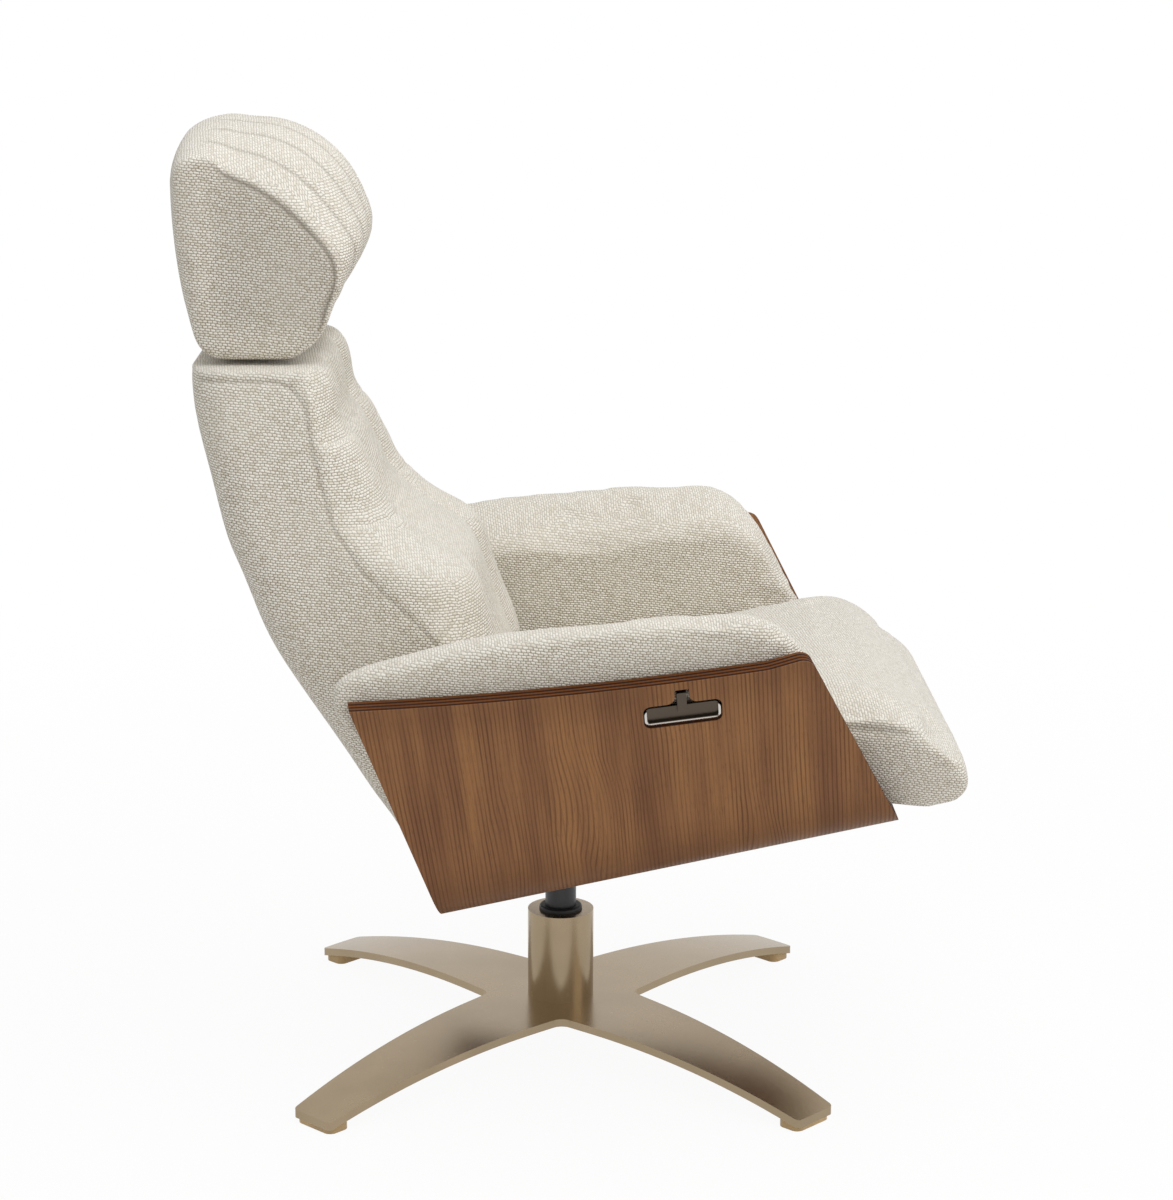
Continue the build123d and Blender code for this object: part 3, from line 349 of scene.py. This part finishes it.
def makePaleWood():
    wood = Finish("planedWood")
    x, y, z = wood.split(wood.place())
    band = wood.noise(wood.join(x * 6, y * 70, z * 70), 1.0, 3)
    colour = wood.mix(band.between(0.3, 0.7), (0.60, 0.43, 0.25), (0.74, 0.58, 0.38))
    wood.set(Base_Color=colour, Roughness=0.55 + 0.15 * band)
    wood.bump(band, 0.2, 0.0004)
    return wood.material


def makeWebbing():
    web = Finish("elasticWebbing")
    x, y, z = web.split(web.place())
    rib = abs(((x * 400).fract()) * 2 - 1) * abs(((y * 330 + z * 330).fract()) * 2 - 1)
    colour = web.mix(rib.between(0.1, 0.7), (0.02, 0.02, 0.02), (0.10, 0.10, 0.10))
    web.set(Base_Color=colour, Roughness=0.85)
    web.bump(rib, 0.5, 0.0005)
    return web.material


creamCloth = makeCloth("creamCloth")
finishes = {
    "base_metal": makeSatinMetal("champagneMetal", (0.365, 0.283, 0.185), 0.25, (300, 300, 60)),
    "dark_metal": makePlain("blackPaint", (0.022, 0.022, 0.024), 0.42, 420, 0.1, 0.1),
    "zinc_steel": makeSatinMetal("zincSteel", (0.62, 0.62, 0.63), 0.3, (500, 90, 500)),
    "lever_metal": makeLeverMetal(),
    "black_plastic": makePlain("blackMoulding", (0.018, 0.018, 0.019), 0.5),
    "amber_plastic": makePlain("amberMoulding", (0.60, 0.41, 0.19), 0.35),
    "veneered_ply": makeVeneer(),
    "plain_wood": makePaleWood(),
    "cream_fabric": creamCloth,
    "webbing": makeWebbing(),
}
for entry in frame["record"]["subparts"]:
    meshData = nodes[entry["node"]].data
    meshData.materials.clear()
    meshData.materials.append(finishes[entry["material_slot"]])
print("finishes set:", len(finishes))


# Padded pieces start from the room that their solid holds
def baked(piece):  # the modifiers become the mesh
    graph = bpy.context.evaluated_depsgraph_get()
    mesh = bpy.data.meshes.new_from_object(piece.evaluated_get(graph))
    piece.modifiers.clear()
    piece.data = mesh
    return piece


def softStart(name, startNodes, voxel, rounds):
    mesh = bpy.data.meshes.new(name)
    build = bmesh.new()
    for node in startNodes:
        build.from_mesh(nodes[node].data)
    bmesh.ops.remove_doubles(build, verts=build.verts, dist=0.00002)
    for face in build.faces:
        face.material_index = 0
    build.to_mesh(mesh)
    build.free()
    piece = bpy.data.objects.new(name, mesh)
    scene.collection.objects.link(piece)
    remesh = piece.modifiers.new("even", "REMESH")
    remesh.mode = "VOXEL"
    remesh.voxel_size = voxel
    baked(piece)
    return eased(outerSkin(piece), rounds)


def outerSkin(piece):  # pockets left inside the padding are dropped
    build = bmesh.new()
    build.from_mesh(piece.data)
    waiting = set(build.verts)
    islands = []
    while waiting:
        island = {waiting.pop()}
        edge = list(island)
        while edge:
            near = {other.other_vert(vert) for vert in edge for other in vert.link_edges} - island
            island |= near
            edge = list(near)
        waiting -= island
        islands.append(island)
    islands.sort(key=len)
    for island in islands[:-1]:
        bmesh.ops.delete(build, geom=list(island), context="VERTS")
    build.to_mesh(piece.data)
    build.free()
    print(piece.name, "islands", [len(island) for island in islands][-4:])
    return piece


def eased(piece, rounds):
    build = bmesh.new()
    build.from_mesh(piece.data)
    axes = {"use_axis_x": True, "use_axis_y": True, "use_axis_z": True}
    for turn in range(rounds):
        bmesh.ops.smooth_vert(build, verts=build.verts, factor=0.5, **axes)
    build.to_mesh(piece.data)
    build.free()
    return piece


def points(piece):
    flat = np.empty(len(piece.data.vertices) * 3)
    piece.data.vertices.foreach_get("co", flat)
    return flat.reshape(-1, 3)


def facings(piece):
    flat = np.empty(len(piece.data.vertices) * 3)
    piece.data.vertices.foreach_get("normal", flat)
    return flat.reshape(-1, 3)


def setPoints(piece, places):
    piece.data.vertices.foreach_set("co", places.ravel())
    piece.data.update()


def shaped(piece, humps):  # each hump has its middle and reach in the side view, and metres outwards
    where, out = points(piece), facings(piece)
    amount = np.zeros(len(where))
    for middle, reach, rise, side in humps:
        away = ((where[:, 1] - middle[0]) / reach[0]) ** 2 + ((where[:, 2] - middle[1]) / reach[1]) ** 2
        shown = np.clip(out @ np.array(side) * 2, 0, 1)
        amount += rise * np.exp(-away) * shown
    setPoints(piece, where + out * amount[:, None])
    return piece


padding = {"quality": 4, "mass": 0.3, "tension_stiffness": 18, "compression_stiffness": 18,
           "shear_stiffness": 8, "bending_stiffness": 1.5, "use_pressure": True}
lastStep = 20
leastHold = 0.02


def puffed(piece, held, pressure, cap):  # held gives 0 to 1 for each point, 1 stays where it is
    start = points(piece)
    group = piece.vertex_groups.new(name="held")
    weights = np.clip(held(start, facings(piece)), 0, 1)
    for index in np.nonzero(weights > leastHold)[0]:
        group.add([int(index)], float(weights[index]), "REPLACE")
    cloth = piece.modifiers.new("padding", "CLOTH")
    for name, value in padding.items():
        setattr(cloth.settings, name, value)
    cloth.settings.uniform_pressure_force = pressure
    cloth.settings.vertex_group_mass = group.name
    cloth.settings.effector_weights.gravity = 0
    cloth.collision_settings.use_collision = False
    cloth.point_cache.frame_start = 1
    cloth.point_cache.frame_end = lastStep
    for step in range(1, lastStep + 1):
        scene.frame_set(step)
    graph = bpy.context.evaluated_depsgraph_get()
    swollen = piece.evaluated_get(graph).to_mesh()
    flat = np.empty(len(swollen.vertices) * 3)
    swollen.vertices.foreach_get("co", flat)
    piece.evaluated_get(graph).to_mesh_clear()
    piece.modifiers.clear()
    scene.frame_set(1)
    move = flat.reshape(-1, 3) - start
    far = np.linalg.norm(move, axis=1, keepdims=True)
    setPoints(piece, start + move * np.minimum(1, cap / np.maximum(far, 1e-9)))
    piece.vertex_groups.clear()
    print(piece.name, "puffed up to", round(float(far.max()) * 1000, 1), "mm")
    return piece


def refined(piece):  # twice as fine, so that a seam stays narrow
    fine = piece.modifiers.new("fine", "SUBSURF")
    fine.levels = 1
    fine.render_levels = 1
    return baked(piece)


def calmFacings(piece, rounds):  # how a smoother copy faces, so that a seam runs without kinks
    calm = bpy.data.objects.new("calm", piece.data.copy())
    turned = facings(eased(calm, rounds))
    bpy.data.objects.remove(calm)
    return turned


shadeShare = 0.75  # of a seam's width shows painted shade


def sewn(piece, seams, depth, width, rounds=0):  # a seam gives its distance, its pull and how much painted shade it shows
    refined(piece)
    where, out, calm = points(piece), facings(piece), calmFacings(piece, rounds)
    pull = np.zeros(len(where))
    seamShade = np.zeros(len(where))
    for seam in seams:
        away, share, shade = seam(where, calm)
        pull = np.maximum(pull, np.exp(-(away / width) ** 2) * share)
        seamShade = np.maximum(seamShade, np.exp(-(away / (width * shadeShare)) ** 2) * share * shade)
    setPoints(piece, where - out * (pull * depth)[:, None])
    # the attribute holds the painted shade along each seam groove
    layer = piece.data.attributes.new("sewn", "FLOAT", "POINT")
    layer.data.foreach_set("value", seamShade.astype(np.float32))
    return piece


def upholster(piece, body, startNodes):
    piece.data.polygons.foreach_set("use_smooth", [True] * len(piece.data.polygons))
    piece.data.materials.append(creamCloth)
    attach(piece, body)
    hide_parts(*startNodes)
    print(piece.name, len(piece.data.polygons), "faces")
    return piece


# Back: upholstered tub with a front of three by three soft pillows, sewn in round the side panels
backForm = {"heights": (0.294, 0.400, 0.440, 0.487, 0.545, 0.612, 0.659, 0.702, 0.746, 0.785, 0.820),
            "halves": (0.214, 0.236, 0.240, 0.243, 0.241, 0.231, 0.221, 0.211, 0.200, 0.189, 0.178),
            "seams": (0.120, 0.085, 0.084, 0.094, 0.137, 0.208, 0.239, 0.252, 0.262, 0.269, 0.279),
            "panelShare": 0.42, "creases": (0.659, 0.746), "voxel": 0.005, "inset": 0.006, "top": 0.809,
            "corner": 0.030, "holdReach": 0.010, "holdShare": 0.8, "holdFrom": 0.012, "holdFade": 0.008,
            "rounds": 7, "pressure": 4.0, "swell": 0.006, "pull": 0.0012, "width": 0.0032, "shade": 0.36,
            "humps": [((0.240, 0.785), (0.05, 0.025), 0.003, (0, -1, 0)),
                      ((0.215, 0.735), (0.06, 0.020), 0.005, (0, -1, 0)),
                      ((0.200, 0.675), (0.06, 0.018), -0.003, (0, -1, 0)),
                      ((0.126, 0.632), (0.03, 0.025), -0.003, (0, -0.8, 0.5)),
                      ((0.266, 0.824), (0.022, 0.012), 0.002, (0, 0, 1)),
                      ((0.340, 0.820), (0.06, 0.010), 0.001, (0, 0, 1)),
                      ((0.333, 0.526), (0.04, 0.050), 0.002, (0, 1, 0)),
                      ((0.185, 0.330), (0.03, 0.040), -0.004, (0, 1, 0))]}


def backHalf(where):
    return np.interp(where[:, 2], backForm["heights"], backForm["halves"])


def backSeam(where):
    return np.interp(where[:, 2], backForm["heights"], backForm["seams"])


def pillowLine(where, out):
    away = abs(abs(where[:, 0]) - backHalf(where) * backForm["panelShare"])
    return away, np.clip(-out[:, 1] * 2, 0, 1), 0.0


def pillowCrease(height):
    def seam(where, out):
        return abs(where[:, 2] - height), np.clip(-out[:, 1] * 2, 0, 1), 0.0
    return seam


def sidePanel(where, out):  # runs a little inside the panel's front edge and rounds its top corner
    corner = backForm["corner"]
    above = np.maximum(where[:, 2] - backForm["top"] + corner, 0)
    ahead = np.maximum(backSeam(where) + backForm["inset"] - where[:, 1] + corner, 0)
    return abs(np.hypot(above, ahead) - corner), np.clip(abs(out[:, 0]) * 3 - 1, 0, 1), backForm["shade"]


def heldBack(where, out):  # along the sewn lines, and behind the side panels' front edges
    reach = backForm["holdReach"]
    front = np.clip(-out[:, 1] * 2, 0, 1)
    near = np.exp(-(pillowLine(where, out)[0] / reach) ** 2) * front
    for height in backForm["creases"]:
        near = np.maximum(near, np.exp(-((where[:, 2] - height) / reach) ** 2) * front)
    rear = np.clip((where[:, 1] - backSeam(where) + backForm["holdFrom"]) / backForm["holdFade"], 0, 1)
    return np.maximum(near * backForm["holdShare"], rear)


backNodes = ("back_shell", "back_cushion")
backCover = softStart("backCover", backNodes, backForm["voxel"], backForm["rounds"])
shaped(backCover, backForm["humps"])
puffed(backCover, heldBack, backForm["pressure"], backForm["swell"])
pillowSeams = [pillowLine, *[pillowCrease(height) for height in backForm["creases"]]]
sewn(backCover, [*pillowSeams, sidePanel], backForm["pull"], backForm["width"])
upholster(backCover, "back", backNodes)


# Headrest: fine sewn ribs over the barrel, and a side panel sewn in along the front and top
headForm = {"ribs": 0.036, "each": 3, "ribShare": 0.4, "ribReach": 0.005, "ribHold": 2.5,
            "edgeFacing": 0.86, "edgeRadius": 0.022, "panelRear": 0.385, "panelFoot": 0.842,
            "panelFade": 0.03, "panelReach": 0.004, "foot": 0.846, "footFade": 0.008,
            "voxel": 0.0045, "rounds": 12, "pressure": 2.0, "swell": 0.0015,
            "pull": 0.0018, "width": 0.0032, "calmRounds": 16,
            "humps": [((0.378, 1.076), (0.036, 0.030), -0.0045, (0, 0, 1)),
                      ((0.222, 0.940), (0.05, 0.032), 0.008, (0, -1, 0)),
                      ((0.248, 0.880), (0.03, 0.022), -0.004, (0, -1, 0))]}


def headRib(index):
    def seam(where, out):
        front = np.clip((-out[:, 1] + out[:, 2] * 0.4) * 3 - 0.4, 0, 1)
        return abs(where[:, 0] - index * headForm["ribs"]), front * headForm["ribShare"], 1.0
    return seam


def headPanel(where, out):
    before = np.clip((headForm["panelRear"] - where[:, 1]) / headForm["panelFade"], 0, 1)
    above = np.clip((where[:, 2] - headForm["panelFoot"]) / headForm["panelFade"], 0, 1)
    away = abs(abs(out[:, 0]) - headForm["edgeFacing"]) * headForm["edgeRadius"]
    return away, before * above, 1.0


ribSeams = [headRib(index) for index in range(-headForm["each"], headForm["each"] + 1)]


def heldHead(where, out):  # along the seams, and under the pad
    near = np.zeros(len(where))
    for rib in ribSeams:
        away, shown, shade = rib(where, out)
        near = np.maximum(near, np.exp(-(away / headForm["ribReach"]) ** 2) * shown * headForm["ribHold"])
    away, shown, shade = headPanel(where, out)
    near = np.maximum(near, np.exp(-(away / headForm["panelReach"]) ** 2) * shown)
    below = np.clip((headForm["foot"] - where[:, 2]) / headForm["footFade"], 0, 1)
    return np.maximum(near, below)


headNodes = ("headrest_pad",)
headPad = softStart("headrestPad", headNodes, headForm["voxel"], headForm["rounds"])
shaped(headPad, headForm["humps"])
puffed(headPad, heldHead, headForm["pressure"], headForm["swell"])
sewn(headPad, [*ribSeams, headPanel], headForm["pull"], headForm["width"], headForm["calmRounds"])
upholster(headPad, "headrest", headNodes)


# Arm pads: rolled over the top edge of the ply, held flat where they lie on it
armForm = {"places": (-0.304, -0.280, -0.250, -0.218, -0.180, -0.110, 0.0, 0.115, 0.190, 0.239),
           "arris": (0.438, 0.470, 0.520, 0.540, 0.540, 0.531, 0.522, 0.513, 0.508, 0.506),
           "rollHigh": 0.060, "rollOut": 0.018, "rollDown": 0.003, "holdFrom": 0.75, "holdFade": 0.15,
           "voxel": 0.005, "rounds": 5, "pressure": 3.0, "swell": 0.003, "pull": 0.0, "width": 0.005}


def eases(values, low, high):  # 0 at low, 1 at high, eased
    share = np.clip((values - low) / (high - low), 0, 1)
    return share * share * (3 - 2 * share)


def rolledOut(piece):  # the top leans out over the edge of the ply
    where = points(piece)
    arris = np.interp(where[:, 1], armForm["places"], armForm["arris"])
    share = eases(where[:, 2] - arris, 0, armForm["rollHigh"])
    where[:, 0] += np.sign(where[:, 0]) * share * armForm["rollOut"]
    where[:, 2] -= share * armForm["rollDown"]
    setPoints(piece, where)
    return piece


def heldArm(where, out):  # where the pad lies on the ply
    flare = plyLook["flare"]
    outward = np.sign(where[:, 0]) * out[:, 0] * math.cos(flare) - out[:, 2] * math.sin(flare)
    return np.clip((outward - armForm["holdFrom"]) / armForm["holdFade"], 0, 1)


for sideName, node in {"Right": "arm_pad_right", "Left": "arm_pad_left"}.items():
    armPad = softStart("armPad" + sideName, (node,), armForm["voxel"], armForm["rounds"])
    rolledOut(armPad)
    puffed(armPad, heldArm, armForm["pressure"], armForm["swell"])
    sewn(armPad, [], armForm["pull"], armForm["width"])
    upholster(armPad, "shell", (node,))


# Seat: crowned top sewn to drawn-in sides, with shallow lines from front to back
seatForm = {"places": (-0.439, -0.433, -0.416, -0.374, -0.312, -0.230, -0.120, 0.0, 0.060, 0.070),
            "halves": (0.248, 0.254, 0.260, 0.264, 0.262, 0.260, 0.257, 0.250, 0.242, 0.240),
            "seams": (0.386, 0.400, 0.421, 0.443, 0.449, 0.440, 0.424, 0.404, 0.394, 0.392),
            "lines": (-0.115, 0.0, 0.115), "lineShare": 0.4, "edgeShade": 0.5,
            "holdReach": 0.007, "underFrom": 0.5, "underFade": 0.3,
            "voxel": 0.006, "rounds": 4, "pressure": 4.0, "swell": 0.004, "pull": 0.0025, "width": 0.006,
            "humps": [((-0.412, 0.442), (0.030, 0.040), -0.011, (0, -0.7, 0.7)),
                      ((-0.388, 0.355), (0.025, 0.030), 0.003, (0, 0, -1)),
                      ((-0.338, 0.505), (0.035, 0.050), 0.008, (0, 0, 1)),
                      ((-0.442, 0.375), (0.03, 0.026), -0.002, (0, -1, 0))]}


def seatEdge(where, out):
    half = np.interp(where[:, 1], seatForm["places"], seatForm["halves"])
    seam = np.interp(where[:, 1], seatForm["places"], seatForm["seams"])
    return np.hypot(abs(where[:, 0]) - half, where[:, 2] - seam), np.ones(len(where)), seatForm["edgeShade"]


def seatLine(place):
    def seam(where, out):
        return abs(where[:, 0] - place), np.clip(out[:, 2] * 2, 0, 1) * seatForm["lineShare"], 0.0
    return seam


def heldSeat(where, out):  # along the sewn edge, and underneath
    away = seatEdge(where, out)[0]
    under = np.clip((-out[:, 2] - seatForm["underFrom"]) / seatForm["underFade"], 0, 1)
    return np.maximum(np.exp(-(away / seatForm["holdReach"]) ** 2), under)


seatNodes = ("seat_cushion",)
seatPad = softStart("seatPad", seatNodes, seatForm["voxel"], seatForm["rounds"])
shaped(seatPad, seatForm["humps"])
puffed(seatPad, heldSeat, seatForm["pressure"], seatForm["swell"])
seatSeams = [seatEdge, *[seatLine(place) for place in seatForm["lines"]]]
sewn(seatPad, seatSeams, seatForm["pull"], seatForm["width"])
upholster(seatPad, "seat", seatNodes)


# Stage: pale floor, soft light from above and in front, and the photograph's camera
stageLook = {"floor": 14, "floorDrop": 0.0005, "floorTone": (0.9, 0.9, 0.9), "white": (1.0, 1.0, 1.0),
             "ambient": 0.61, "shadow": 0.06, "fade": (0.8, 2.4)}
softboxes = {"overhead": {"place": (-0.6, -0.7, 3.4), "aim": (0, 0, 0.5), "size": (3.0, 3.0), "power": 50},
             "frontSide": {"place": (-1.6, -3.2, 1.9), "aim": (0, 0, 0.6), "size": (2.2, 2.2), "power": 15}}


def makeFloor():
    build = bmesh.new()
    bmesh.ops.create_grid(build, x_segments=1, y_segments=1, size=stageLook["floor"])
    mesh = bpy.data.meshes.new("floor")
    build.to_mesh(mesh)
    build.free()
    floor = bpy.data.objects.new("floor", mesh)
    floor.location.z = -stageLook["floorDrop"]
    scene.collection.objects.link(floor)
    look = Finish("paleFloor")
    tree = look.tree
    look.set(Base_Color=stageLook["floorTone"], Roughness=1.0, Specular_IOR_Level=0.0)
    seen = look.node("ShaderNodeLightPath", None, None, "Is Camera Ray")
    glossy = look.node("ShaderNodeLightPath", None, None, "Is Glossy Ray")
    glow = look.node("ShaderNodeEmission", None, {"Color": stageLook["white"], "Strength": 1.0})
    x, y, z = look.split(look.place())
    far = (x * x + y * y).root().between(*stageLook["fade"])
    share = 1 - stageLook["shadow"] * (1 - far)  # the shadow is kept near the chair
    shown = Value(look, look.shader.outputs[0])
    both = look.node("ShaderNodeMixShader", None, {0: seen.larger(glossy) * share, 1: shown, 2: glow})
    tree.links.new(both.socket, tree.nodes["Material Output"].inputs["Surface"])
    mesh.materials.append(look.material)


def makeWorld():
    world = bpy.data.worlds.new("studio")
    scene.world = world
    world.use_nodes = True
    tree = world.node_tree
    sky = tree.nodes["Background"]
    sky.inputs["Color"].default_value = (*stageLook["white"], 1)
    path = tree.nodes.new("ShaderNodeLightPath")
    seen = path.outputs["Is Camera Ray"]
    for kind in ("Is Glossy Ray", "Is Transmission Ray"):
        either = tree.nodes.new("ShaderNodeMath")
        either.operation = "MAXIMUM"
        tree.links.new(seen, either.inputs[0])
        tree.links.new(path.outputs[kind], either.inputs[1])
        seen = either.outputs[0]
    level = tree.nodes.new("ShaderNodeMapRange")
    tree.links.new(seen, level.inputs["Value"])
    level.inputs["To Min"].default_value = stageLook["ambient"]
    level.inputs["To Max"].default_value = 1.0
    tree.links.new(level.outputs[0], sky.inputs["Strength"])


def addSoftbox(name, place, aim, size, power):
    data = bpy.data.lights.new(name, "AREA")
    data.shape = "RECTANGLE"
    data.size, data.size_y = size
    data.energy = power
    lamp = bpy.data.objects.new(name, data)
    lamp.location = place
    lamp.rotation_euler = (Vector(aim) - Vector(place)).to_track_quat("-Z", "Y").to_euler()
    scene.collection.objects.link(lamp)


cameraView = {"place": (-3.3159, 0.0478, 1.3203), "forward": (0.9723, -0.0225, -0.2325),
              "roll": 0.0036, "lens": 89.49, "sensor": 36}


def addCamera():
    forward = Vector(cameraView["forward"]).normalized()
    right = forward.cross(Vector((0, 0, 1))).normalized()
    up = right.cross(forward)
    lean = cameraView["roll"]
    right, up = right * math.cos(lean) + up * math.sin(lean), up * math.cos(lean) - right * math.sin(lean)
    data = bpy.data.cameras.new("photoCamera")
    data.lens = cameraView["lens"]
    data.sensor_width = cameraView["sensor"]
    camera = bpy.data.objects.new("photoCamera", data)
    turn = Matrix((right, up, -forward)).transposed().to_4x4()
    camera.matrix_world = Matrix.Translation(cameraView["place"]) @ turn
    scene.collection.objects.link(camera)
    scene.camera = camera


makeFloor()
makeWorld()
for boxName, box in softboxes.items():
    addSoftbox(boxName, **box)
addCamera()
scene.view_settings.view_transform = "Standard"
print("stage set")
